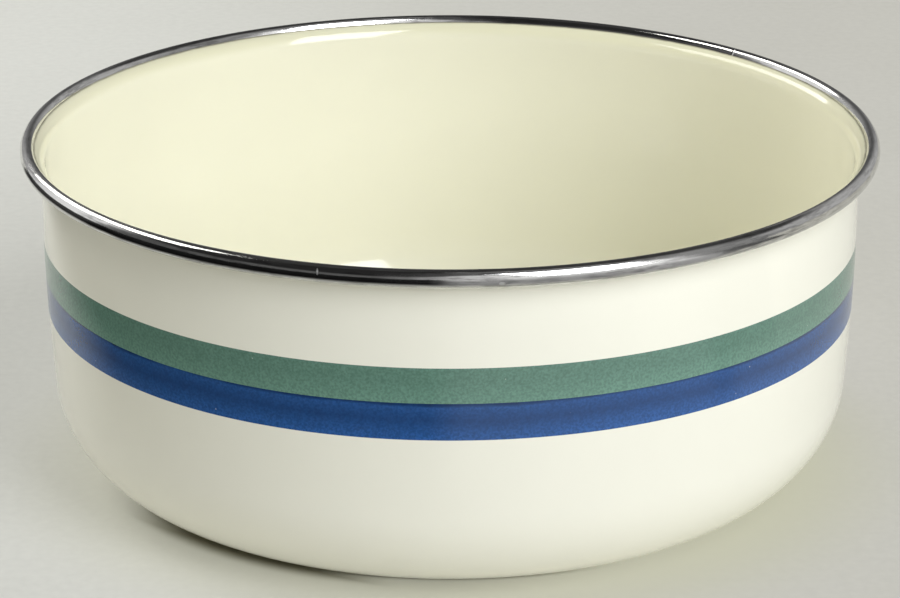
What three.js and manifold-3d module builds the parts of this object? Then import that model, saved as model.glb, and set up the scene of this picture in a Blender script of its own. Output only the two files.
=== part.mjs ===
import * as THREE from 'three';
import { mergeVertices } from 'three/addons/utils/BufferGeometryUtils.js';
import Module from 'manifold-3d';

// A deep enamelled steel bowl with two colour bands and a bright rolled trim on its lip.
// Millimetres, +Z up. The origin is on the bowl's axis, on the surface that it stands on.
// Every coat follows one section of the bowl, at its own depth below the outside face.

// Wall and base, on the outside face
const wallDiameter = 228.84; // at the widest point of the bowed wall
const bulgeHeight = 79.7; // height of that widest point
const bulgeRadius = 748; // bow of the wall, seen in section
const wallHeight = 91.72; // where the wall starts to flare into the lip
const cornerRadius = 30.5; // bend from the wall into the base

// Raised centre of the base, which leaves a flat ring to stand on
const recessRadius = 70; // inner edge of the standing ring
const recessDepth = 1.2;
const recessBend = 14; // radius of both bends of the step

// Lip that the trim grips
const lipBend = 3.36; // bend radius on the outside face
const lipAngle = 72; // turn of the flange away from upright, in degrees
const lipFlange = 1.8; // straight flange after the bend

// Layers of the wall
const outerCoat = 0.25;
const steelSheet = 0.6;
const innerCoat = 0.25;
const bondGap = 0.02; // clearance between one layer and the next

// Fired colour bands, let into the outer coat so that they lie flush with it
const greenTop = 70; // height of the green band's upper edge
const greenWidth = 9.7;
const blueWidth = 10.2;
const bandDepth = 0.12;

// Rolled trim, a strip curled over the flange
const trimStrip = 0.5; // thickness of the strip
const trimHalfHeight = 2.47; // half the height of the roll
const trimOuterReach = 2.16; // from the middle of the roll out to its outermost point
const trimInnerReach = 1.77; // from the middle of the roll in towards the bowl
const trimGrip = 0.54; // from the flange's edge back along it to the middle of the roll
const trimClearance = 0.1; // between the ends of the strip and the enamel
const trimJoint = 0.3; // butt gap between the two ends of the trim
const trimJointAzimuth = 43; // where that gap is, in degrees from +X towards +Y

// Facets
const aroundSteps = 44;
const recessSteps = 1;
const cornerSteps = 6;
const lipSteps = 4;
const rollSteps = 6; // round the outer half of the trim's roll
const curlSteps = 2; // from there to each end of the strip

const wasm = await Module();
wasm.setup();

const degrees = THREE.MathUtils.degToRad;
const steelDepth = outerCoat + bondGap;
const liningDepth = steelDepth + steelSheet + bondGap;
const wallThickness = liningDepth + innerCoat;
const greenBottom = greenTop - greenWidth;
const blueBottom = greenBottom - blueWidth;

// A point of the section with the direction that the outside face looks in.
// The direction is an angle from +r towards +z, so -90 degrees looks down.
function station(r, z, facing) {
  return { r, z, facing };
}

// The same station moved into the wall by a depth.
function sunk({ r, z, facing }, depth) {
  return new THREE.Vector2(r - depth * Math.cos(facing), z - depth * Math.sin(facing));
}

// Stations on an arc about a centre, from one facing to another, without the first one.
// A negative radius is an arc that bends the other way, with its centre outside the wall.
function arc(centreR, centreZ, radius, from, to, steps) {
  return Array.from({ length: steps }, (_, i) => {
    const facing = THREE.MathUtils.lerp(from, to, (i + 1) / steps);
    return station(centreR + radius * Math.cos(facing), centreZ + radius * Math.sin(facing), facing);
  });
}

const down = -Math.PI / 2;

// Wall: an arc of the bulge radius, through the widest point
const bulgeCentre = wallDiameter / 2 - bulgeRadius;
function wallStation(z) {
  const facing = Math.asin((z - bulgeHeight) / bulgeRadius);
  return station(bulgeCentre + bulgeRadius * Math.cos(facing), z, facing);
}

// Corner: touches the base plane and the wall's arc
const cornerCentre = bulgeCentre + Math.sqrt(
  (bulgeRadius - cornerRadius) ** 2 - (cornerRadius - bulgeHeight) ** 2,
);
const cornerFacing = Math.atan2(cornerRadius - bulgeHeight, cornerCentre - bulgeCentre);

// Step of the base: two equal arcs, one bending down and one bending back level
const stepTurn = Math.acos(1 - recessDepth / (2 * recessBend));
const stepStart = recessRadius - 2 * recessBend * Math.sin(stepTurn);
const base = [
  station(0, recessDepth, down),
  station(stepStart, recessDepth, down),
  ...arc(stepStart, recessDepth - recessBend, -recessBend, down, down - stepTurn, recessSteps),
  ...arc(recessRadius, recessBend, recessBend, down - stepTurn, down, recessSteps),
  station(cornerCentre, 0, down),
];

const corner = arc(cornerCentre, cornerRadius, cornerRadius, down, cornerFacing, cornerSteps);
const cornerTop = corner.at(-1).z;

const wall = [(cornerTop + blueBottom) / 2, blueBottom, greenBottom, greenTop, wallHeight].map(wallStation);

// Lip: bends outwards from the wall, then runs straight to its edge
const lipStart = wall.at(-1);
const lipEndFacing = -degrees(lipAngle);
const lipCentre = sunk(lipStart, -lipBend);
const bend = arc(lipCentre.x, lipCentre.y, -lipBend, lipStart.facing, lipEndFacing, lipSteps);
const bendEnd = bend.at(-1);
const alongLip = new THREE.Vector2(Math.sin(degrees(lipAngle)), Math.cos(degrees(lipAngle)));
const lipEdge = station(
  bendEnd.r + lipFlange * alongLip.x,
  bendEnd.z + lipFlange * alongLip.y,
  lipEndFacing,
);

const section = [...base, ...corner, ...wall, ...bend, lipEdge];

// Turns an outline (x = radius, y = height) about the axis. It starts and ends on the axis or closes on itself.
function turned(outline) {
  return new THREE.LatheGeometry(outline, aroundSteps).rotateX(Math.PI / 2);
}

// A layer of the wall, from a depth inwards. Its outer face steps in by the seat where the bands are let in.
function layer(depth, thickness, bandSeat = 0) {
  const outerFace = section.flatMap((s) => {
    const inBands = s.z < greenTop && s.z > blueBottom;
    const face = sunk(s, depth);
    const seat = sunk(s, depth + bandSeat);
    if (bandSeat && s.z === blueBottom) return [face, seat];
    if (bandSeat && s.z === greenTop) return [seat, face];
    return [inBands ? seat : face];
  });
  const innerFace = section.map((s) => sunk(s, depth + thickness)).reverse();
  return turned([...outerFace, ...innerFace]);
}

// A colour band between two heights of the wall, filling its seat.
function band(bottom, top) {
  const stations = wall.filter((s) => s.z >= bottom && s.z <= top);
  const face = stations.map((s) => sunk(s, 0));
  const back = stations.map((s) => sunk(s, bandDepth)).reverse();
  return turned([...face, ...back, face[0]]);
}

// Middle of the trim's roll: on the flange's underside, back from its edge
const rollCentre = sunk(lipEdge, 0).addScaledVector(alongLip, -trimGrip);

// A point of an ellipse about the middle of the roll.
function rollPoint(reach, halfHeight, turn) {
  return new THREE.Vector2(reach * Math.cos(turn), halfHeight * Math.sin(turn)).add(rollCentre);
}

// The turn, between two others, at which that ellipse comes to a distance from the centre of the lip's bend.
function turnNearLip(reach, halfHeight, distance, from, to) {
  const gap = (turn) => rollPoint(reach, halfHeight, turn).distanceTo(lipCentre) - distance;
  const sideOfStart = Math.sign(gap(from));
  let [near, far] = [from, to];
  for (let halving = 0; halving < 40; halving += 1) {
    const middle = (near + far) / 2;
    if (Math.sign(gap(middle)) === sideOfStart) near = middle;
    else far = middle;
  }
  return near;
}

function rollArc(reach, halfHeight, from, to, steps) {
  return Array.from({ length: steps + 1 }, (_, i) => (
    rollPoint(reach, halfHeight, THREE.MathUtils.lerp(from, to, i / steps))
  ));
}

// One side of the strip, inset from the trim's outside. It runs from the end under the lip,
// round the roll, to the end that rests on the lip inside the bowl.
function trimSide(inset) {
  const height = trimHalfHeight - inset;
  const outerReach = trimOuterReach - inset;
  const innerReach = trimInnerReach - inset;
  const underLip = lipBend - trimClearance;
  const overLip = lipBend + wallThickness + trimClearance;
  const lowerEnd = turnNearLip(innerReach, height, underLip, -Math.PI / 2, -Math.PI);
  const upperEnd = turnNearLip(innerReach, height, overLip, Math.PI / 2, Math.PI);
  return [
    ...rollArc(innerReach, height, lowerEnd, -Math.PI / 2, curlSteps).slice(0, -1),
    ...rollArc(outerReach, height, -Math.PI / 2, Math.PI / 2, rollSteps),
    ...rollArc(innerReach, height, Math.PI / 2, upperEnd, curlSteps).slice(1),
  ];
}

function trimRing() {
  const outside = trimSide(0);
  const inside = trimSide(trimStrip).reverse();
  return turned([...outside, ...inside, outside[0]]);
}

// Cutter for the butt gap: a thin slab across the roll
function jointSlab() {
  const slab = new THREE.BoxGeometry(4 * trimOuterReach, trimJoint, 4 * trimHalfHeight);
  slab.translate(rollCentre.x, 0, rollCentre.y);
  return slab.rotateZ(degrees(trimJointAzimuth));
}

function solidOf(geometry) {
  const bare = geometry.clone();
  bare.deleteAttribute('normal');
  bare.deleteAttribute('uv');
  const merged = mergeVertices(bare);
  return new wasm.Manifold(new wasm.Mesh({
    numProp: 3,
    vertProperties: new Float32Array(merged.attributes.position.array),
    triVerts: new Uint32Array(merged.index.array),
  }));
}

function cut(geometry, cutter) {
  const { vertProperties, triVerts } = solidOf(geometry).subtract(solidOf(cutter)).getMesh();
  const result = new THREE.BufferGeometry();
  result.setAttribute('position', new THREE.BufferAttribute(vertProperties, 3));
  result.setIndex(new THREE.BufferAttribute(triVerts, 1));
  result.computeVertexNormals();
  return result;
}

function piece(name, geometry, color, roughness, metalness) {
  const mesh = new THREE.Mesh(geometry, new THREE.MeshStandardMaterial({ color, roughness, metalness }));
  mesh.name = name;
  return mesh;
}

const bowl = new THREE.Group();
bowl.name = 'enamelled_bowl';
bowl.add(
  piece('steel_bowl', layer(steelDepth, steelSheet), 0x6d7073, 0.55, 1),
  piece('inner_enamel', layer(liningDepth, innerCoat), 0xf1eedc, 0.12, 0),
  piece('outer_enamel', layer(0, outerCoat, bandDepth + bondGap), 0xf1eedc, 0.12, 0),
  piece('green_band', band(greenBottom, greenTop), 0x4f7c6b, 0.2, 0),
  piece('blue_band', band(blueBottom, greenBottom), 0x2c4a84, 0.2, 0),
  piece('rim_trim', cut(trimRing(), jointSlab()), 0xc9cccf, 0.1, 1),
);

export default bowl;
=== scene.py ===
import math

import bpy
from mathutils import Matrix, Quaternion, Vector


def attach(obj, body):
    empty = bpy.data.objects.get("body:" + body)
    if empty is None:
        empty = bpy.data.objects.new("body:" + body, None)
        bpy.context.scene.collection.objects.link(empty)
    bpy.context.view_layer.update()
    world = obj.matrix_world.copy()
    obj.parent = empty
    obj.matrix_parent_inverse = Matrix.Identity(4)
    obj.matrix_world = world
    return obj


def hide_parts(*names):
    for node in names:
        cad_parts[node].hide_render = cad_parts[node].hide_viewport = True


bl_info = {
    "name": "Enamelled bowl",
    "version": (1, 0, 0),
    "blender": (4, 5, 0),
    "location": "3D View > Sidebar > Bowl",
    "description": "Models a deep enamelled bowl with two colour bands and a bright rolled trim",
    "category": "Add Mesh",
}

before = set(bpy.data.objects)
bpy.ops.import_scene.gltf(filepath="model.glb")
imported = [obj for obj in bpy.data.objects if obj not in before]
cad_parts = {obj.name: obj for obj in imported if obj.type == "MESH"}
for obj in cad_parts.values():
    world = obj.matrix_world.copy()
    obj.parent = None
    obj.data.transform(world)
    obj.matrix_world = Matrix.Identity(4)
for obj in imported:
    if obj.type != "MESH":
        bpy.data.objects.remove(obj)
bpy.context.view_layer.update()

# Steps of the turned shapes
AROUND_STEPS = 256
BASE_STEPS = 3
RECESS_STEPS = 5  # in each of its two bends
CORNER_STEPS = 22
WALL_STEPS = 4  # below the bands, and again above them
BAND_STEPS = 3
LIP_STEPS = 14
ROLL_STEPS = 28  # round the outer half of the trim
UNDER_STEPS = 8  # from there to the strip's end under the lip
OVER_STEPS = 10  # from there to the strip's end inside the bowl
HALVINGS = 40  # in the search for those ends

# Modelling
DOWN = -math.pi / 2
MERGE_DISTANCE = 2e-6
JOINT_SLACK = 2e-5  # from the plane of the trim's end to its vertices, at most
JOINT_BEVEL = 6e-5
SMOOTH_ANGLE = math.radians(35)

# Finishes
WHITE = (1.0, 1.0, 1.0, 1.0)
BLACK = (0.0, 0.0, 0.0, 1.0)
DARK_SPECK = (0.16, 0.12, 0.08, 1.0)
PALE_SPECK = (0.55, 0.60, 0.55, 1.0)
FOOT_LINE_DARK = (0.12, 0.105, 0.075, 1.0)
# Painted shade: the cream darker and yellower where the lining turns into the lip, below the trim
LIP_PAINTED_SHADE = (0.94, 0.935, 0.84)  # of the cream, where the lining turns into the lip
CREAM_IOR = 1.52
BAND_IOR = 1.75

# Shades of the bands from their lower edge, at 0, to their upper edge, at 1
GREEN_SHADES = (0.0, 1.25), (0.25, 1.10), (0.6, 0.92), (0.95, 0.95), (1.0, 1.1)
BLUE_SHADES = (0.0, 1.7), (0.25, 1.35), (0.55, 0.80), (0.9, 1.30), (0.96, 0.45), (1.0, 0.35)

# Places and sizes of the scratches on the trim
SCRATCHES = (
    ((-0.0332, -0.1145, 0.0962), (0.0004, 0.0030, 0.0012)),
    ((0.0130, -0.1190, 0.0946), (0.0011, 0.0030, 0.0006)),
)


def length(name, millimetres, description):
    """A size in metres, from its value in millimetres."""
    return bpy.props.FloatProperty(
        name=name, description=description, default=millimetres / 1000,
        min=0.0, precision=5, unit="LENGTH",
    )


def turn(name, degrees, description):
    """An angle, from its value in degrees."""
    return bpy.props.FloatProperty(
        name=name, description=description, default=math.radians(degrees), subtype="ANGLE",
    )


def colour(name, red, green, blue, description):
    """A linear colour."""
    return bpy.props.FloatVectorProperty(
        name=name, description=description, default=(red, green, blue),
        size=3, min=0.0, max=1.0, subtype="COLOR",
    )


def power(name, watts, description):
    """The power of a lamp."""
    return bpy.props.FloatProperty(
        name=name, description=description, default=watts, unit="POWER",
    )


def level(name, value, description):
    """A strength or share without a unit."""
    return bpy.props.FloatProperty(name=name, description=description, default=value)


class BowlSizes(bpy.types.PropertyGroup):
    """Sizes of the bowl's section, the same as those of the CAD part."""

    wall_diameter: length("Wall diameter", 228.84, "Outside, at the widest point of the bowed wall")
    bulge_height: length("Bulge height", 79.7, "Height of the widest point of the wall")
    bulge_radius: length("Bulge radius", 748, "Bow of the wall, seen in section")
    wall_height: length("Wall height", 91.72, "Height where the wall starts to flare into the lip")
    corner_radius: length("Corner radius", 30.5, "Bend from the wall into the base")
    recess_radius: length("Recess radius", 70, "Inner edge of the standing ring")
    recess_depth: length("Recess depth", 1.2, "Rise of the base's centre above the standing ring")
    recess_bend: length("Recess bend", 14, "Radius of both bends of the step in the base")
    lip_bend: length("Lip bend", 3.36, "Bend radius of the lip on the outside face")
    lip_angle: turn("Lip angle", 72, "Turn of the lip's flange away from upright")
    lip_flange: length("Lip flange", 1.8, "Straight flange after the bend")
    outer_coat: length("Outer coat", 0.25, "Thickness of the enamel outside")
    steel_sheet: length("Steel sheet", 0.6, "Thickness of the pressed steel")
    inner_coat: length("Inner coat", 0.25, "Thickness of the enamel inside")
    bond_gap: length("Bond gap", 0.02, "Clearance between one layer and the next")
    green_top: length("Green top", 70, "Height of the green band's upper edge")
    green_width: length("Green width", 9.7, "Height of the green band")
    blue_width: length("Blue width", 10.2, "Height of the blue band")
    band_depth: length("Band depth", 0.12, "Depth of the bands in the outer coat")
    trim_strip: length("Trim strip", 0.5, "Thickness of the trim's strip")
    trim_half_height: length("Trim half height", 2.47, "Half the height of the trim's roll")
    trim_outer_reach: length("Trim outer reach", 2.16, "Middle of the roll to its outermost point")
    trim_inner_reach: length("Trim inner reach", 1.77, "Middle of the roll in towards the bowl")
    trim_grip: length("Trim grip", 0.54, "From the flange's edge back to the middle of the roll")
    trim_clearance: length("Trim clearance", 0.1, "Gap from the ends of the strip to the enamel")
    trim_joint: length("Trim joint", 0.3, "Butt gap between the two ends of the trim")
    trim_joint_azimuth: turn("Trim joint azimuth", 43, "Where that gap is, from +X towards +Y")


class BowlColours(bpy.types.PropertyGroup):
    """Colours of the bowl's finishes."""

    # Painted light: the inside's cream is a lighter, yellower copy of the outside's
    lit_cream_inside: colour("Cream inside", 0.880, 0.865, 0.708, "Enamel inside the bowl")
    cream_outside: colour("Cream outside", 0.772, 0.766, 0.680, "Enamel outside the bowl")
    green: colour("Green", 0.114, 0.224, 0.175, "Middle of the green band")
    blue: colour("Blue", 0.016, 0.064, 0.204, "Middle of the blue band")
    bright_steel: colour("Bright steel", 0.73, 0.725, 0.71, "Polished steel of the trim")
    bare_steel: colour("Bare steel", 0.30, 0.31, 0.32, "Pressed steel under the enamel")


class StudioSettings(bpy.types.PropertyGroup):
    """Lamps and floor round the bowl."""

    key_power: power("Key power", 32.0, "Softbox at the front right")
    key_tint: colour("Key tint", 0.955, 0.97, 1.0, "Colour of that softbox")
    back_power: power("Back power", 11.5, "Softbox at the back left")
    back_tint: colour("Back tint", 1.0, 0.99, 0.95, "Colour of that softbox")
    fill_strength: level("Fill strength", 2.3, "Light from the walls behind")
    fill_tint: colour("Fill tint", 1.0, 0.99, 0.95, "Colour of that light")
    shadow_lift: level("Shadow lift", 0.46, "Share of the floor that is seen without shadow")
    floor: colour("Floor", 0.585, 0.588, 0.549, "Pale paper that the bowl stands on")
    # Painted shade: the paper darker and warmer at the right
    shaded_right_floor: colour("Warm floor", 0.560, 0.552, 0.500, "The same paper at the right")
    # Painted warm bounce light and shade on the paper beside the bowl
    bounce_and_shade_floor: colour("Near floor", 0.552, 0.550, 0.425, "The same paper beside the bowl")
    bounce: colour("Bounce", 0.90, 0.885, 0.79, "Paper as it lights the bowl from below")
    backdrop: colour("Backdrop", 0.68, 0.69, 0.68, "Pale surround beyond the floor")


# Section of the bowl

class Station:
    """A point of the section on the outside face, with the direction that the face looks in."""

    def __init__(self, r, z, facing):
        self.r, self.z, self.facing = r, z, facing

    def sunk(self, depth):
        """Radius and height of this station moved into the wall by a depth."""
        r = self.r - depth * math.cos(self.facing)
        z = self.z - depth * math.sin(self.facing)
        return Vector((r, z))


def arc(centre, radius, start, end, steps):
    """Stations on an arc from one facing to another, without the first one."""
    facings = (start + (end - start) * (i + 1) / steps for i in range(steps))
    return [
        Station(centre[0] + radius * math.cos(f), centre[1] + radius * math.sin(f), f)
        for f in facings
    ]


class Section:
    """The bowl's section, from the middle of its base to the edge of its lip."""

    def __init__(self, sizes):
        self.sizes = s = sizes
        self.green_bottom = s.green_top - s.green_width
        self.blue_bottom = self.green_bottom - s.blue_width
        self.steel_depth = s.outer_coat + s.bond_gap
        self.lining_depth = self.steel_depth + s.steel_sheet + s.bond_gap
        self.thickness = self.lining_depth + s.inner_coat
        self.bulge_centre = s.wall_diameter / 2 - s.bulge_radius
        corner = self.corner()
        self.wall = [
            *self.wall_run(corner[-1].z, self.blue_bottom, WALL_STEPS),
            *self.wall_run(self.blue_bottom, self.green_bottom, BAND_STEPS),
            *self.wall_run(self.green_bottom, s.green_top, BAND_STEPS),
            *self.wall_run(s.green_top, s.wall_height, WALL_STEPS),
        ]
        lip = self.lip()
        self.stations = [*self.base(), *corner, *self.wall, *lip]
        along = Vector((math.sin(s.lip_angle), math.cos(s.lip_angle)))
        self.roll_centre = lip[-1].sunk(0.0) - s.trim_grip * along

    def wall_run(self, bottom, top, steps):
        """Stations of the bowed wall between two heights, without the lower one."""
        s = self.sizes
        heights = [bottom + (top - bottom) * i / steps for i in range(1, steps)] + [top]
        facings = [math.asin((z - s.bulge_height) / s.bulge_radius) for z in heights]
        return [
            Station(self.bulge_centre + s.bulge_radius * math.cos(f), z, f)
            for z, f in zip(heights, facings)
        ]

    def corner_centre(self):
        """Distance from the axis at which the corner touches the base and the wall."""
        s = self.sizes
        rise = s.corner_radius - s.bulge_height
        reach = math.sqrt((s.bulge_radius - s.corner_radius) ** 2 - rise ** 2)
        return self.bulge_centre + reach

    def base(self):
        """Raised centre, the step down and the flat standing ring."""
        s = self.sizes
        step_turn = math.acos(1 - s.recess_depth / (2 * s.recess_bend))
        step_start = s.recess_radius - 2 * s.recess_bend * math.sin(step_turn)
        upper = (step_start, s.recess_depth - s.recess_bend)
        lower = (s.recess_radius, s.recess_bend)
        centre = [step_start * i / BASE_STEPS for i in range(BASE_STEPS + 1)]
        return [
            *(Station(r, s.recess_depth, DOWN) for r in centre),
            *arc(upper, -s.recess_bend, DOWN, DOWN - step_turn, RECESS_STEPS),
            *arc(lower, s.recess_bend, DOWN - step_turn, DOWN, RECESS_STEPS),
            Station(self.corner_centre(), 0.0, DOWN),
        ]

    def corner(self):
        """The bend from the base into the wall."""
        s = self.sizes
        centre = self.corner_centre()
        end = math.atan2(s.corner_radius - s.bulge_height, centre - self.bulge_centre)
        return arc((centre, s.corner_radius), s.corner_radius, DOWN, end, CORNER_STEPS)

    def lip(self):
        """The bend outwards and the straight flange."""
        s = self.sizes
        start = self.wall[-1]
        self.lip_centre = start.sunk(-s.lip_bend)
        bend = arc(self.lip_centre, -s.lip_bend, start.facing, -s.lip_angle, LIP_STEPS)
        edge = Station(
            bend[-1].r + s.lip_flange * math.sin(s.lip_angle),
            bend[-1].z + s.lip_flange * math.cos(s.lip_angle),
            -s.lip_angle,
        )
        return [*bend, edge]

    def layer(self, depth, thickness, seat=0.0):
        """Outline of a layer. Its outer face steps in by the seat where the bands are let in."""
        outer = []
        for station in self.stations:
            low, high = station.z == self.blue_bottom, station.z == self.sizes.green_top
            inside = self.blue_bottom <= station.z <= self.sizes.green_top
            if not inside or (seat and low):
                outer.append(station.sunk(depth))
            if inside:
                outer.append(station.sunk(depth + seat))
            if seat and high:
                outer.append(station.sunk(depth))
        inner = [station.sunk(depth + thickness) for station in reversed(self.stations)]
        return outer + inner

    def band(self, bottom, top):
        """Closed outline of a colour band between two heights of the wall."""
        run = [station for station in self.wall if bottom <= station.z <= top]
        face = [station.sunk(0.0) for station in run]
        back = [station.sunk(self.sizes.band_depth) for station in reversed(run)]
        return [*face, *back, face[0]]

    def roll_point(self, reach, half_height, angle):
        """A point of an ellipse about the middle of the trim's roll."""
        return self.roll_centre + Vector((reach * math.cos(angle), half_height * math.sin(angle)))

    def angle_near_lip(self, reach, half_height, distance, start, end):
        """The angle at which that ellipse comes to a distance from the centre of the lip's bend."""
        def beyond(angle):
            return (self.roll_point(reach, half_height, angle) - self.lip_centre).length > distance

        first = beyond(start)
        for _ in range(HALVINGS):
            middle = (start + end) / 2
            if beyond(middle) == first:
                start = middle
            else:
                end = middle
        return start

    def trim_side(self, inset):
        """One side of the trim's strip, from its end under the lip to its end inside the bowl."""
        s = self.sizes
        height = s.trim_half_height - inset
        outer, inner = s.trim_outer_reach - inset, s.trim_inner_reach - inset
        under = s.lip_bend - s.trim_clearance
        over = s.lip_bend + self.thickness + s.trim_clearance
        low = self.angle_near_lip(inner, height, under, -math.pi / 2, -math.pi)
        high = self.angle_near_lip(inner, height, over, math.pi / 2, math.pi)

        def run(reach, start, end, steps):
            angles = (start + (end - start) * i / steps for i in range(steps + 1))
            return [self.roll_point(reach, height, angle) for angle in angles]

        return [
            *run(inner, low, -math.pi / 2, UNDER_STEPS)[:-1],
            *run(outer, -math.pi / 2, math.pi / 2, ROLL_STEPS),
            *run(inner, math.pi / 2, high, OVER_STEPS)[1:],
        ]

    def trim(self):
        """Closed outline of the trim's strip."""
        outside = self.trim_side(0.0)
        return [*outside, *reversed(self.trim_side(self.sizes.trim_strip)), outside[0]]

    def trim_foot(self):
        """Height at which the trim's strip ends on the lining."""
        return self.trim_side(0.0)[-1][1]


# Modelling

def deselect():
    """Object mode with nothing selected."""
    if bpy.context.object and bpy.context.object.mode != "OBJECT":
        bpy.ops.object.mode_set(mode="OBJECT")
    bpy.ops.object.select_all(action="DESELECT")


def named(name):
    """The object just added, with its name and that of its data."""
    added = bpy.context.object
    added.name = added.data.name = name
    return added


def draw_outline(name, outline, azimuth=0.0):
    """A new object in edit mode, its outline drawn by extruding one vertex from point to point."""
    deselect()
    bpy.ops.mesh.primitive_plane_add(size=0.001, location=(0.0, 0.0, 0.0))
    piece = named(name)
    bpy.ops.object.mode_set(mode="EDIT")
    bpy.ops.mesh.select_mode(type="VERT")
    bpy.ops.mesh.select_all(action="SELECT")
    bpy.ops.mesh.merge(type="CENTER")
    points = [Vector((r * math.cos(azimuth), r * math.sin(azimuth), z)) for r, z in outline]
    bpy.ops.transform.translate(value=points[0])
    for here, there in zip(points, points[1:]):
        bpy.ops.mesh.extrude_region_move(TRANSFORM_OT_translate={"value": there - here})
    bpy.ops.mesh.select_all(action="SELECT")
    return piece


def spin(steps, angle, axis):
    """Turns what is selected about the bowl's axis."""
    bpy.ops.mesh.spin(steps=steps, angle=angle, center=(0.0, 0.0, 0.0), axis=(0.0, 0.0, axis))


def close_up():
    """Merges the doubles that spinning leaves and turns the faces outwards."""
    bpy.ops.mesh.select_all(action="SELECT")
    bpy.ops.mesh.remove_doubles(threshold=MERGE_DISTANCE)
    bpy.ops.mesh.normals_make_consistent(inside=False)


def turned(name, outline):
    """A closed piece: the outline turned about the bowl's axis."""
    piece = draw_outline(name, outline)
    spin(AROUND_STEPS, math.tau, 1.0)
    close_up()
    return finished(piece)


def finished(piece):
    """Back to object mode, smooth where the section bends gently."""
    bpy.ops.object.mode_set(mode="OBJECT")
    bpy.ops.object.shade_smooth_by_angle(angle=SMOOTH_ANGLE)
    if not piece.data.polygons or any(edge.is_loose for edge in piece.data.edges):
        raise RuntimeError(f"{piece.name} isn't a closed piece")
    return piece


def fit(piece, node, material):
    """Puts a piece in the place of its CAD node, with its finish."""
    piece.data.materials.clear()
    piece.data.materials.append(material)
    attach(piece, "root")
    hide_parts(node)


# Finishes

def rgba(tint, shade=1.0):
    """An opaque colour, lighter or darker by a shade."""
    return (tint[0] * shade, tint[1] * shade, tint[2] * shade, 1.0)


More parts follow.
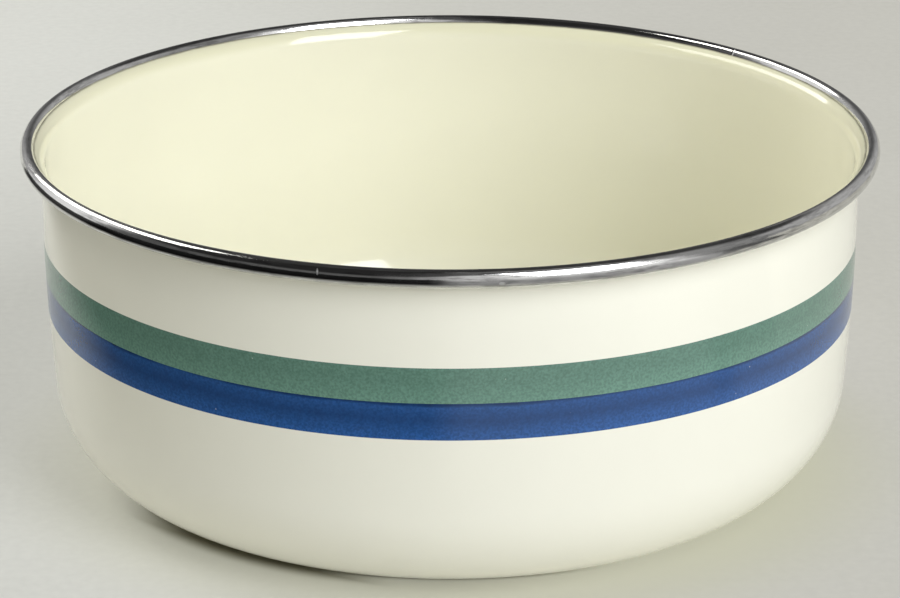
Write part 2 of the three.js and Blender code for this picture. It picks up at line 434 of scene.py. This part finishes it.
class Nodes:
    """A node tree under construction, with the coordinates that it reads."""

    OUTPUT = "World Output"

    def __init__(self, tree, coordinates):
        self.tree = tree
        self.place = self.add("ShaderNodeTexCoord").outputs[coordinates]

    def add(self, kind, inputs=None, **settings):
        """A new node. An input is a number, a colour or the output of another node."""
        node = self.tree.nodes.new(kind)
        for key, value in settings.items():
            setattr(node, key, value)
        for key, value in (inputs or {}).items():
            self.set(node.inputs[key], value)
        return node

    def set(self, socket, value):
        if isinstance(value, bpy.types.NodeSocket):
            self.tree.links.new(value, socket)
        else:
            socket.default_value = value

    def noise(self, scale, detail=2.0, roughness=0.5, vector=None):
        vector = vector or self.place
        inputs = {"Vector": vector, "Scale": scale, "Detail": detail, "Roughness": roughness}
        return self.add("ShaderNodeTexNoise", inputs).outputs["Fac"]

    def ranged(self, value, low, high, to_low=0.0, to_high=1.0, smooth=False):
        """A value moved from one range to another and held within it."""
        inputs = {
            "Value": value, "From Min": low, "From Max": high, "To Min": to_low, "To Max": to_high,
        }
        kind = "SMOOTHSTEP" if smooth else "LINEAR"
        return self.add("ShaderNodeMapRange", inputs, interpolation_type=kind).outputs["Result"]

    def soft(self, value, low, high):
        """A mask that rises softly from zero to one between two values."""
        return self.ranged(value, low, high, smooth=True)

    def mottle(self, scale, detail=2.0, low=0.0, high=1.0):
        """Noise whose usual span fills a range."""
        return self.ranged(self.noise(scale, detail), 0.3, 0.7, low, high)

    def math(self, operation, a, b=0.0):
        return self.add("ShaderNodeMath", {0: a, 1: b}, operation=operation).outputs[0]

    def times(self, a, b):
        return self.math("MULTIPLY", a, b)

    def larger(self, a, b):
        return self.math("MAXIMUM", a, b)

    def vector(self, operation, a, b):
        node = self.add("ShaderNodeVectorMath", {0: a, 1: b}, operation=operation)
        return node.outputs["Vector"]

    def axes(self, vector=None):
        """X, Y and Z of a place."""
        return self.add("ShaderNodeSeparateXYZ", {"Vector": vector or self.place}).outputs

    def reach(self, vector=None):
        """Distance of a place from the origin."""
        node = self.add("ShaderNodeVectorMath", {0: vector or self.place}, operation="LENGTH")
        return node.outputs["Value"]

    def mix(self, factor, a, b, blend="MIX"):
        inputs = {0: factor, 6: a, 7: b}
        return self.add("ShaderNodeMix", inputs, data_type="RGBA", blend_type=blend).outputs[2]

    def tinted(self, colour, tint):
        """A colour times a tint."""
        return self.mix(1.0, colour, tint, "MULTIPLY")

    def ramp(self, factor, *stops):
        """A colour ramp from (position, colour) pairs."""
        node = self.add("ShaderNodeValToRGB", {"Fac": factor})
        elements = node.color_ramp.elements
        while len(elements) < len(stops):
            elements.new(0.5)
        for element, (position, tint) in zip(elements, stops):
            element.position, element.color = position, tint
        return node.outputs["Color"]

    def specks(self, spacing, radius, share):
        """A mask of rare round specks, in a share of the cells of a spacing."""
        inputs = {"Vector": self.place, "Scale": 1 / spacing}
        cells = self.add("ShaderNodeTexVoronoi", inputs, feature="F1").outputs
        rim = radius / spacing
        near = self.ranged(cells["Distance"], rim * 0.6, rim, 1.0, 0.0)
        dice = self.add("ShaderNodeSeparateColor", {"Color": cells["Color"]}).outputs[0]
        return self.times(near, self.math("LESS_THAN", dice, share))

    def bump(self, height, distance, under=None):
        inputs = {"Height": height, "Distance": distance, "Strength": 1.0}
        if under:
            inputs["Normal"] = under
        return self.add("ShaderNodeBump", inputs).outputs["Normal"]

    def near(self, point, size):
        """A soft mask of an egg-shaped place on the piece."""
        offset = self.vector("SUBTRACT", self.place, point)
        return self.soft(self.reach(self.vector("DIVIDE", offset, size)), 1.0, 0.35)

    def seen(self):
        """One for rays of the camera, of reflections and of clear things, zero for other rays."""
        path = self.add("ShaderNodeLightPath").outputs
        seen = self.larger(path["Is Camera Ray"], path["Is Glossy Ray"])
        return self.larger(seen, path["Is Transmission Ray"])

    def by_bearing(self, tones):
        """A tone that changes with the bearing about the bowl's axis.

        Bearings are in degrees from the camera's side towards the right.
        """
        x, y, _ = self.axes()
        angle = self.math("ARCTAN2", x, self.times(y, -1.0))
        stops = ((degrees / 360 + 0.5, rgba((tone, tone, tone))) for degrees, tone in tones)
        return self.ramp(self.ranged(angle, -math.pi, math.pi), *stops)

    def blend(self, share, a, b):
        """One shader mixed with a share of another."""
        return self.add("ShaderNodeMixShader", {0: share, 1: a, 2: b}).outputs[0]

    def surface(self, shade):
        """Links a shader to the tree's output."""
        self.tree.links.new(shade, self.tree.nodes[self.OUTPUT].inputs["Surface"])


class Finish(Nodes):
    """A material under construction."""

    OUTPUT = "Material Output"

    def __init__(self, name):
        self.material = bpy.data.materials.new(name)
        self.material.use_nodes = True
        super().__init__(self.material.node_tree, "Object")
        self.shader = self.tree.nodes["Principled BSDF"]

    def done(self, **inputs):
        """Sets inputs of the main shader, by their names in small letters."""
        for key, value in inputs.items():
            name = key.replace("_", " ").title().replace("Ior", "IOR")
            self.set(self.shader.inputs[name], value)
        return self.material

    def glow(self, tone):
        return self.add("ShaderNodeEmission", {"Color": tone}).outputs[0]


def cream_enamel(name, tint, foot=None):
    """Glossy cream enamel: faint clouds, a soft skin and a few specks.

    Below the foot of the trim, the lip gets a painted shade, darker and yellower, and ends in a
    dark line.
    """
    f = Finish(name)
    base = f.mix(f.mottle(22.0, 3.0), rgba(tint, 0.985), rgba(tint, 1.01))
    base = f.mix(f.specks(spacing=0.017, radius=0.00030, share=0.10), base, DARK_SPECK)
    if foot:
        height = f.axes()["Z"]
        lip_painted_shade = [channel * shade for channel, shade in zip(tint, LIP_PAINTED_SHADE)]
        # Painted shade on the lip below the trim's foot
        base = f.mix(f.soft(height, foot - 0.0045, foot - 0.0015), base, rgba(lip_painted_shade))
        wavy = f.math("ADD", height, f.mottle(160.0, 2.0, -0.00005, 0.00005))
        # A dark line along the trim's foot
        base = f.mix(f.ranged(wavy, foot - 0.00035, foot - 0.0001, 0.0, 0.7), base, FOOT_LINE_DARK)
    skin = f.bump(f.noise(260.0), 0.000008)
    skin = f.bump(f.noise(38.0, 1.0), 0.00006, under=skin)
    roughness = f.mottle(60.0, 4.0, 0.04, 0.08)
    return f.done(base_color=base, roughness=roughness, normal=skin, ior=CREAM_IOR)


def band_enamel(name, tint, bottom, top, shades):
    """Coloured enamel: shaded by height between the band's edges, with a fine grain."""
    f = Finish(name)
    wavy = f.math("ADD", f.axes()["Z"], f.mottle(30.0, 2.0, -0.0006, 0.0006))
    stops = ((position, rgba(tint, shade)) for position, shade in shades)
    base = f.ramp(f.ranged(wavy, bottom, top), *stops)
    base = f.mix(f.times(f.mottle(420.0, 3.0), 0.30), base, rgba(tint, 1.35))
    grain = f.ranged(f.noise(1500.0), 0.36, 0.64)
    base = f.mix(f.times(grain, 0.5), base, rgba(tint, 0.55))
    specks = f.specks(spacing=0.0034, radius=0.00022, share=0.16)
    base = f.mix(f.times(specks, 0.5), base, PALE_SPECK)
    skin = f.bump(f.noise(700.0), 0.000010)
    roughness = f.mottle(500.0, 2.0, 0.10, 0.18)
    return f.done(base_color=base, roughness=roughness, normal=skin, ior=BAND_IOR)


def bright_steel(name, tint, joint):
    """Polished steel: long waves, rolling marks and fine lines round the rim, and two scratches."""
    f = Finish(name)
    seam_at_joint = {"Vector": f.place, "Rotation": (0.0, 0.0, math.pi - joint)}
    x, y, z = f.axes(f.add("ShaderNodeMapping", seam_at_joint).outputs["Vector"])
    around = f.math("ARCTAN2", y, x)
    reach = f.math("SQRT", f.math("ADD", f.math("POWER", x, 2.0), f.math("POWER", y, 2.0)))

    def along(stretch):
        """Coordinates that are long in the direction of the rim."""
        inputs = {"X": reach, "Y": z, "Z": f.times(around, stretch)}
        return f.add("ShaderNodeCombineXYZ", inputs).outputs["Vector"]

    lines = f.noise(3800.0, 3.0, 0.6, along(0.004))
    marks = f.noise(1300.0, 3.0, 0.55, along(0.016))
    patches = f.ranged(f.noise(42.0), 0.36, 0.58)
    dull = f.ranged(f.noise(90.0, 4.0), 0.45, 0.75)
    scratch = f.larger(*(f.near(place, size) for place, size in SCRATCHES))
    base = f.mix(dull, rgba(tint), rgba(tint, 0.86))
    base = f.mix(f.times(patches, f.ranged(marks, 0.42, 0.62)), base, rgba(tint, 0.62))
    base = f.mix(f.times(scratch, 0.6), base, rgba(tint, 1.2))
    roughness = f.math("ADD", f.ranged(lines, 0.3, 0.7, 0.06, 0.14), f.times(dull, 0.08))
    roughness = f.math("ADD", roughness, f.times(scratch, 0.4))
    skin = f.bump(lines, 0.000003)
    skin = f.bump(f.times(marks, f.ranged(patches, 0.0, 1.0, 0.30, 1.0)), 0.000020, under=skin)
    skin = f.bump(f.noise(120.0), 0.00005, under=skin)
    return f.done(base_color=base, roughness=roughness, normal=skin, metallic=1.0)


def pressed_steel(name, tint):
    """Bare pressed steel, hidden under the enamel."""
    f = Finish(name)
    grain = f.mottle(900.0, 4.0)
    base = f.mix(grain, rgba(tint, 0.85), rgba(tint, 1.1))
    roughness = f.ranged(grain, 0.0, 1.0, 0.42, 0.6)
    return f.done(base_color=base, roughness=roughness, metallic=1.0)


class Paper(Finish):
    """The floor's paper under construction, with masks of the places on it."""

    CONTACT_SHADE = (0.36, 0.34, 0.26, 1.0)
    CONTACT_OVAL = (0.93, 1.0, 1.0)  # makes a circle of the bowl's outline on the floor

    def __init__(self, name, studio):
        super().__init__(name)
        self.studio = studio
        self.fibre = self.mottle(9.0, 4.0)
        self.rays = self.seen()
        self.x, self.y, _ = self.axes()
        self.across = self.soft(self.x, -0.18, 0.14)
        self.edge = self.reach(self.vector("MULTIPLY", self.place, self.CONTACT_OVAL))

    def off_contact(self):
        """Zero in the painted contact shadow at the bowl's foot, at the front left."""
        ends = self.larger(self.soft(self.x, -0.045, -0.012), self.soft(self.x, -0.066, -0.093))
        return self.larger(self.soft(self.edge, 0.0885, 0.0955), ends)

    def off_line(self):
        """Zero in the thin dark line at the bowl's foot, from the left to the middle."""
        return self.larger(self.soft(self.edge, 0.0882, 0.0905), self.soft(self.x, 0.01, 0.05))

    def tone(self, off_contact):
        """Colour of the paper with painted light and shade on it, and a brighter one for the light
        that it gives the bowl.
        """
        studio = self.studio
        # Painted light: the paper lighter towards the back
        painted_light_further = self.ranged(self.y, 0.0, 0.40, 1.09, 1.25, smooth=True)
        left = self.tinted(rgba(studio.floor), painted_light_further)
        # Painted shade at the right of the paper
        tone = self.mix(self.across, left, rgba(studio.shaded_right_floor, 1.02))
        tone = self.tinted(tone, self.mottle(320.0, 3.0, 0.975, 1.025))
        tone = self.mix(self.times(self.fibre, 0.05), tone, WHITE)
        # Painted warm bounce light and shade beside the bowl
        beside = self.soft(self.reach(), 0.14, 0.095)
        near = self.times(self.ranged(self.across, 0.0, 1.0, 0.4, 1.0), beside)
        tone = self.mix(near, tone, rgba(studio.bounce_and_shade_floor))
        # Painted contact shadow at the bowl's foot
        tone = self.tinted(tone, self.mix(off_contact, self.CONTACT_SHADE, WHITE))
        bounce = self.mix(self.across, rgba(studio.bounce, 0.84), rgba(studio.bounce, 1.10))
        return self.mix(self.rays, bounce, tone)

    def lifted(self):
        """The paper with a glow of its own tone, which softens the shadow, most at the right."""
        off_contact = self.off_contact()
        tone = self.tone(off_contact)
        self.done(base_color=tone, roughness=self.ranged(self.fibre, 0.0, 1.0, 0.75, 0.85))
        lift = self.studio.shadow_lift
        right = self.soft(self.x, -0.01, 0.06)
        share = self.times(off_contact, self.off_line())
        share = self.times(share, self.ranged(right, 0.0, 1.0, lift, lift + 0.3))
        share = self.times(share, self.larger(self.rays, self.times(right, 0.5)))
        self.surface(self.blend(share, self.shader.outputs[0], self.glow(tone)))
        return self.material


# Operators

class BOWL_OT_pressed_steel(bpy.types.Operator):
    """Models the steel pressing under the enamel"""

    bl_idname = "bowl.pressed_steel"
    bl_label = "Pressed steel"
    bl_options = {"REGISTER", "UNDO"}

    def execute(self, context):
        section = Section(context.scene.bowl_sizes)
        outline = section.layer(section.steel_depth, section.sizes.steel_sheet)
        finish = pressed_steel("pressed_steel", context.scene.bowl_colours.bare_steel)
        fit(turned("pressed_bowl", outline), "steel_bowl", finish)
        return {"FINISHED"}


class BOWL_OT_cream_coats(bpy.types.Operator):
    """Models the cream enamel inside and outside"""

    bl_idname = "bowl.cream_coats"
    bl_label = "Cream coats"
    bl_options = {"REGISTER", "UNDO"}

    def execute(self, context):
        section = Section(context.scene.bowl_sizes)
        s, colours = section.sizes, context.scene.bowl_colours
        lining = turned("cream_lining", section.layer(section.lining_depth, s.inner_coat))
        finish = cream_enamel("lit_cream_inside", colours.lit_cream_inside, section.trim_foot())
        fit(lining, "inner_enamel", finish)
        seat = s.band_depth + s.bond_gap
        skin = turned("cream_skin", section.layer(0.0, s.outer_coat, seat))
        finish = cream_enamel("cream_outside", colours.cream_outside)
        fit(skin, "outer_enamel", finish)
        return {"FINISHED"}


class BOWL_OT_colour_bands(bpy.types.Operator):
    """Models the green and blue bands let into the outer coat"""

    bl_idname = "bowl.colour_bands"
    bl_label = "Colour bands"
    bl_options = {"REGISTER", "UNDO"}

    def execute(self, context):
        section = Section(context.scene.bowl_sizes)
        colours, top = context.scene.bowl_colours, section.sizes.green_top
        middle, bottom = section.green_bottom, section.blue_bottom
        green = turned("green_stripe", section.band(middle, top))
        finish = band_enamel("green_enamel", colours.green, middle, top, GREEN_SHADES)
        fit(green, "green_band", finish)
        blue = turned("blue_stripe", section.band(bottom, middle))
        finish = band_enamel("blue_enamel", colours.blue, bottom, middle, BLUE_SHADES)
        fit(blue, "blue_band", finish)
        return {"FINISHED"}


class BOWL_OT_rim_trim(bpy.types.Operator):
    """Models the bright strip rolled over the lip, with the butt joint where its ends meet"""

    bl_idname = "bowl.rim_trim"
    bl_label = "Rim trim"
    bl_options = {"REGISTER", "UNDO"}

    def execute(self, context):
        section = Section(context.scene.bowl_sizes)
        s, radius = section.sizes, section.roll_centre[0]
        joint, gap, margin = s.trim_joint_azimuth, s.trim_joint / radius, s.trim_strip / radius
        trim = draw_outline("rolled_trim", section.trim(), joint + gap / 2)
        bpy.ops.mesh.remove_doubles(threshold=MERGE_DISTANCE)
        # A short step at each end keeps the shading of the ends off the long run between them
        spin(1, margin, -1.0)
        spin(AROUND_STEPS, math.tau - gap - 2 * margin, -1.0)
        spin(1, margin, -1.0)
        close_up()
        self.cap(trim, joint + gap / 2)
        self.cap(trim, joint - gap / 2)
        close_up()
        finish = bright_steel("bright_steel", context.scene.bowl_colours.bright_steel, joint)
        fit(finished(trim), "rim_trim", finish)
        return {"FINISHED"}

    def cap(self, trim, azimuth):
        """Fills the open end of the strip at an azimuth and breaks its edge."""
        bpy.ops.mesh.select_all(action="DESELECT")
        bpy.ops.object.mode_set(mode="OBJECT")
        ahead = Vector((math.cos(azimuth), math.sin(azimuth), 0.0))
        across = Vector((-math.sin(azimuth), math.cos(azimuth), 0.0))
        for vertex in trim.data.vertices:
            in_plane = abs(vertex.co.dot(across)) < JOINT_SLACK
            vertex.select = in_plane and vertex.co.dot(ahead) > 0.0
        bpy.ops.object.mode_set(mode="EDIT")
        bpy.ops.mesh.edge_face_add()
        bpy.ops.mesh.bevel(offset=JOINT_BEVEL, segments=2, affect="EDGES")


class BOWL_OT_stage(bpy.types.Operator):
    """Sets up the floor, the softboxes, the surround and the camera"""

    bl_idname = "bowl.stage"
    bl_label = "Stage"
    bl_options = {"REGISTER", "UNDO"}

    FLOOR_RADIUS = 6.0
    FLOOR_DROP = 0.00005  # keeps the floor's face off the standing ring's
    WALLS_RADIUS = 4.0
    FLOOR_REFLECTION_RADIUS = 3.9
    FLOOR_REFLECTION_RISE = 0.0004

    KEY_SOFTBOX = {"place": (0.887, -1.221, 1.04), "size": (0.88, 1.50)}
    BACK_SOFTBOX = {"place": (-1.00, 0.72, 1.12), "size": (1.52, 0.50), "roll": math.radians(37)}
    SOFTBOX_AIM = (0.0, 0.0, 0.06)

    CAMERA_PLACE = (0.0, -0.9487, 0.3946)
    CAMERA_TILT = math.radians(69.869)
    CAMERA_LENS = 141.63
    CAMERA_SENSOR = 36.0

    # Tones by bearing. The ceiling starts at the walls' tops, given as the sine of their height.
    WALLS = (
        (-180, 0.10), (-168, 0.16), (-152, 0.38), (-138, 0.65), (-127, 0.92), (-105, 0.92),
        (-98, 0.30), (-91, 0.09), (-15, 0.13), (2, 0.55), (16, 0.95), (57, 0.90), (65, 0.28),
        (87, 0.28), (96, 0.44), (112, 0.50), (150, 0.45), (170, 0.12), (180, 0.10),
    )
    WALL_TOPS = (
        (-180, 0.60), (-100, 0.57), (-72, 0.36), (-15, 0.34), (5, 0.70), (58, 0.70), (70, 0.55),
        (180, 0.60),
    )
    CEILING = (
        (-180, 0.05), (-95, 0.05), (-75, 0.022), (-18, 0.022), (2, 0.09), (50, 0.30), (85, 0.30),
        (115, 0.05), (180, 0.05),
    )
    # Painted reflection of the floor: tones by bearing, dark where they stand in for shade
    FLOOR_REFLECTION_TONES = (
        (-155, 0.06), (-98, 0.05), (-92, 0.012), (-4, 0.016), (3, 0.62), (58, 0.85), (66, 0.20),
        (180, 0.20),
    )
    # Distance from the axis at which the painted reflection of the floor starts, by bearing, as a
    # share of its reach
    FLOOR_REFLECTION_START = (
        (-150, 1.0), (-136, 0.085), (-110, 0.065), (-97, 0.056), (-80, 0.044), (-63, 0.040),
        (-40, 0.039), (58, 0.039), (67, 0.062), (82, 0.066), (88, 1.0),
    )
    FLOOR_REFLECTION_REACH = 4.0
    # Light of the walls for matt surfaces, by bearing
    WALL_LIGHT = (
        (-180, 0.40), (-135, 0.68), (-90, 0.50), (-45, 0.10), (0, 0.06), (45, 0.02), (90, 0.24),
        (135, 0.34), (180, 0.40),
    )

    def execute(self, context):
        scene, studio = context.scene, context.scene.bowl_studio
        self.floor(studio)
        self.walls()
        self.floor_reflection_card()
        self.world(scene, studio)
        self.softbox("key_softbox", studio.key_power, studio.key_tint, **self.KEY_SOFTBOX)
        self.softbox("back_softbox", studio.back_power, studio.back_tint, **self.BACK_SOFTBOX)
        self.camera(scene)
        scene.view_settings.view_transform = "Standard"
        return {"FINISHED"}

    def disc(self, name, vertices, radius, height):
        """A flat round sheet at a height."""
        deselect()
        bpy.ops.mesh.primitive_circle_add(
            vertices=vertices, radius=radius, fill_type="NGON", location=(0.0, 0.0, height),
        )
        bpy.ops.object.transform_apply(location=True)
        return named(name)

    def floor(self, studio):
        """Pale paper that the bowl stands on."""
        floor = self.disc("floor", 128, self.FLOOR_RADIUS, -self.FLOOR_DROP)
        floor.data.materials.append(Paper("floor_paper", studio).lifted())

    def walls(self):
        """Studio walls and ceiling that only reflections show."""
        deselect()
        bpy.ops.mesh.primitive_uv_sphere_add(segments=48, ring_count=24, radius=self.WALLS_RADIUS)
        walls = named("studio_walls")
        f = Finish("studio_walls")
        way = f.add("ShaderNodeVectorMath", {0: f.place}, operation="NORMALIZE").outputs["Vector"]
        over = f.math("SUBTRACT", f.axes(way)["Z"], f.by_bearing(self.WALL_TOPS))
        below = f.soft(over, 0.08, -0.08)
        tone = f.mix(below, f.by_bearing(self.CEILING), f.by_bearing(self.WALLS))
        self.reflected(walls, f, f.glow(tone))

    def floor_reflection_card(self):
        """Painted reflection of the floor that only reflections show: dark where it stands in for
        shade, bright at the front right where the key lights the paper.
        """
        floor_reflection_card = self.disc("painted_floor_reflection", 64, self.FLOOR_REFLECTION_RADIUS, self.FLOOR_REFLECTION_RISE)
        f = Finish("painted_floor_reflection")
        reach = f.reach()
        edge = f.times(f.by_bearing(self.FLOOR_REFLECTION_START), self.FLOOR_REFLECTION_REACH)
        cover = f.soft(f.math("SUBTRACT", reach, edge), -0.05, 0.05)
        tone = f.tinted(f.by_bearing(self.FLOOR_REFLECTION_TONES), f.ranged(reach, 0.16, 0.75, 0.45, 1.0))
        clear = f.add("ShaderNodeBsdfTransparent").outputs[0]
        self.reflected(floor_reflection_card, f, f.blend(cover, clear, f.glow(tone)))

    def reflected(self, card, f, shade):
        """Gives a card its finish and hides it from all but reflections."""
        f.surface(shade)
        card.data.materials.append(f.material)
        for ray in ("camera", "diffuse", "transmission", "volume_scatter", "shadow"):
            setattr(card, f"visible_{ray}", False)

    def world(self, scene, studio):
        """Light of the walls for matt surfaces, and a pale surround for all that is seen."""
        scene.world = bpy.data.worlds.new("studio")
        scene.world.use_nodes = True
        f = Nodes(scene.world.node_tree, "Generated")
        low = f.soft(f.axes()["Z"], 0.72, 0.48)
        wall = f.mix(low, BLACK, f.tinted(f.by_bearing(self.WALL_LIGHT), rgba(studio.fill_tint)))
        inputs = {"Color": wall, "Strength": studio.fill_strength}
        fill = f.add("ShaderNodeBackground", inputs).outputs[0]
        pale = f.add("ShaderNodeBackground", {"Color": rgba(studio.backdrop)}).outputs[0]
        f.surface(f.blend(f.seen(), fill, pale))

    def softbox(self, name, power, tint, place, size, roll=0.0):
        """A soft lamp that looks at the bowl, turned about its own middle by a roll."""
        deselect()
        bpy.ops.object.light_add(type="AREA", location=place)
        lamp = named(name)
        lamp.data.shape = "RECTANGLE"
        lamp.data.size, lamp.data.size_y = size
        lamp.data.energy = power
        lamp.data.color = tint
        aim = (Vector(self.SOFTBOX_AIM) - Vector(place)).to_track_quat("-Z", "Y")
        lamp.rotation_euler = (aim @ Quaternion((0.0, 0.0, 1.0), roll)).to_euler()

    def camera(self, scene):
        """Camera at the photograph's viewing angle."""
        deselect()
        bpy.ops.object.camera_add(location=self.CAMERA_PLACE, rotation=(self.CAMERA_TILT, 0.0, 0.0))
        scene.camera = named("camera")
        scene.camera.data.sensor_width = self.CAMERA_SENSOR
        scene.camera.data.lens = self.CAMERA_LENS


class BOWL_PT_sidebar(bpy.types.Panel):
    """Sizes, colours and steps of the bowl"""

    bl_idname = "BOWL_PT_sidebar"
    bl_label = "Enamelled bowl"
    bl_space_type = "VIEW_3D"
    bl_region_type = "UI"
    bl_category = "Bowl"

    def draw(self, context):
        for step in OPERATORS:
            self.layout.operator(step.bl_idname)
        for settings in GROUPS:
            group = getattr(context.scene, settings)
            box = self.layout.box()
            for name in group.__annotations__:
                box.prop(group, name)


GROUPS = {"bowl_sizes": BowlSizes, "bowl_colours": BowlColours, "bowl_studio": StudioSettings}
OPERATORS = (
    BOWL_OT_pressed_steel, BOWL_OT_cream_coats, BOWL_OT_colour_bands, BOWL_OT_rim_trim,
    BOWL_OT_stage,
)
CLASSES = (*GROUPS.values(), *OPERATORS, BOWL_PT_sidebar)


def register():
    for cls in CLASSES:
        bpy.utils.register_class(cls)
    for name, group in GROUPS.items():
        setattr(bpy.types.Scene, name, bpy.props.PointerProperty(type=group))


def unregister():
    for name in GROUPS:
        delattr(bpy.types.Scene, name)
    for cls in reversed(CLASSES):
        bpy.utils.unregister_class(cls)


def main():
    register()
    bpy.ops.bowl.pressed_steel()
    bpy.ops.bowl.cream_coats()
    bpy.ops.bowl.colour_bands()
    bpy.ops.bowl.rim_trim()
    bpy.ops.bowl.stage()


if __name__ == "__main__":
    main()
